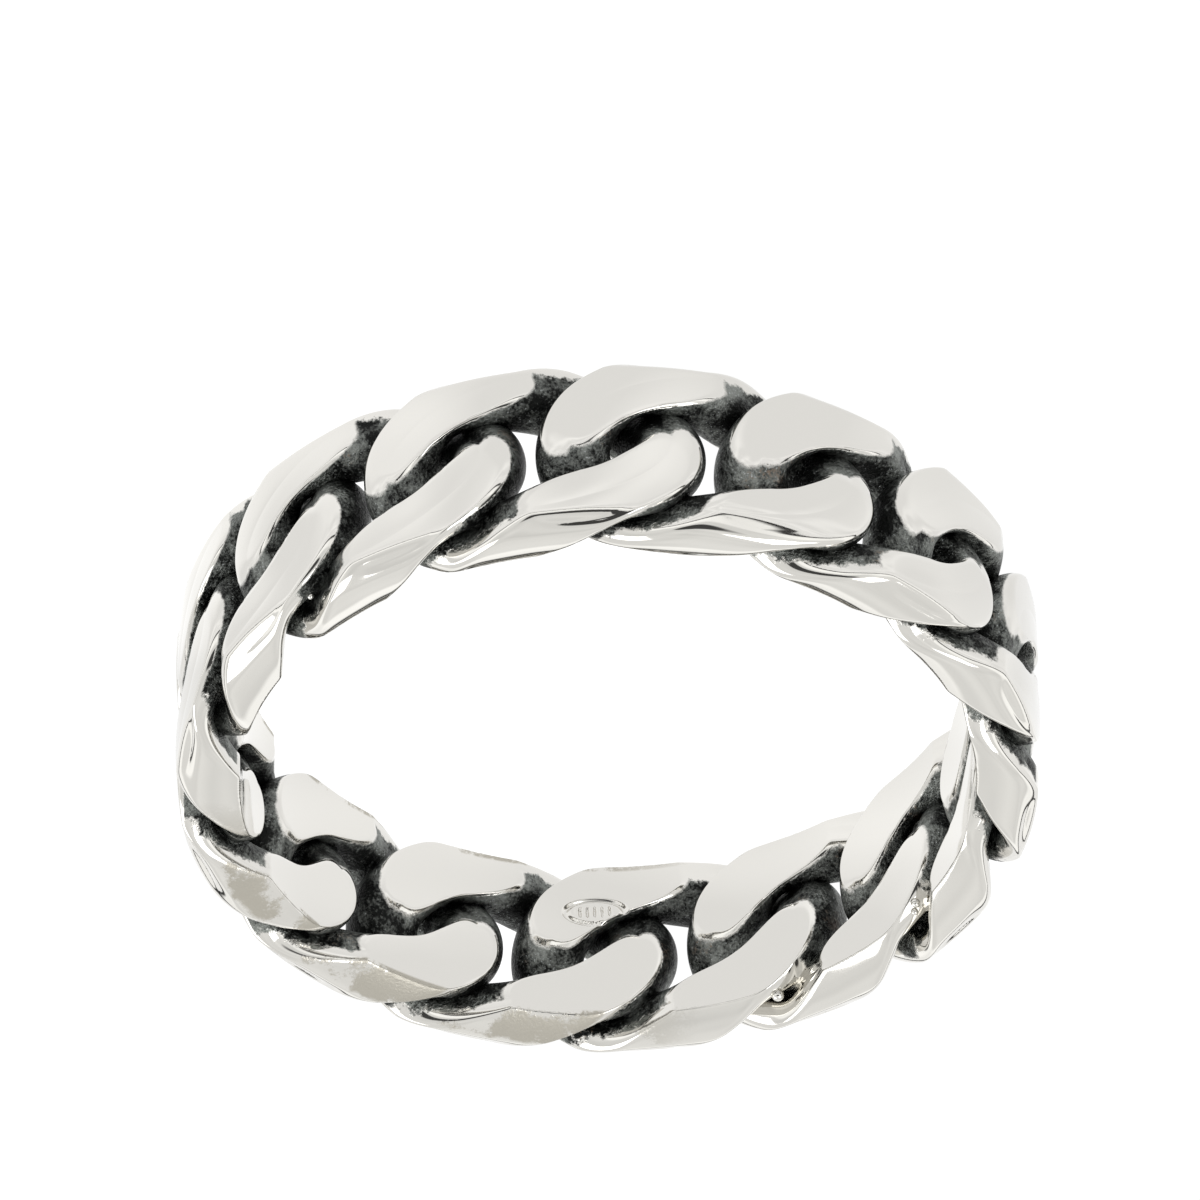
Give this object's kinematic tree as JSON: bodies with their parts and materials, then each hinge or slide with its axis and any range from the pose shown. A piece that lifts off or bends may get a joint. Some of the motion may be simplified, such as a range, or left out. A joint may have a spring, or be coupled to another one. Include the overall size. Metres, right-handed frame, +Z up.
{
  "type": "chain link finger ring",
  "caption": "Curb chain closed into a finger ring: flat-ground twisted links, each through the next, with a cylindrical bore.",
  "frame": {"origin": "on the axis of the finger hole, level with the lower rims that the ring rests on", "axes": "+Z up along the axis of the finger hole; -Y through the middle of link_01"},
  "size_m": [0.0234, 0.0234, 0.0057],
  "materials": {
    "silver": "polished sterling silver on the ground faces, blackened in the recesses"
  },
  "bodies": {
    "root": {"link_01": "silver", "link_02": "silver", "link_03": "silver", "link_04": "silver", "link_05": "silver", "link_06": "silver", "link_07": "silver", "link_08": "silver", "link_09": "silver", "link_10": "silver", "link_11": "silver", "link_12": "silver", "link_13": "silver", "link_14": "silver"}
  },
  "joints": []
}
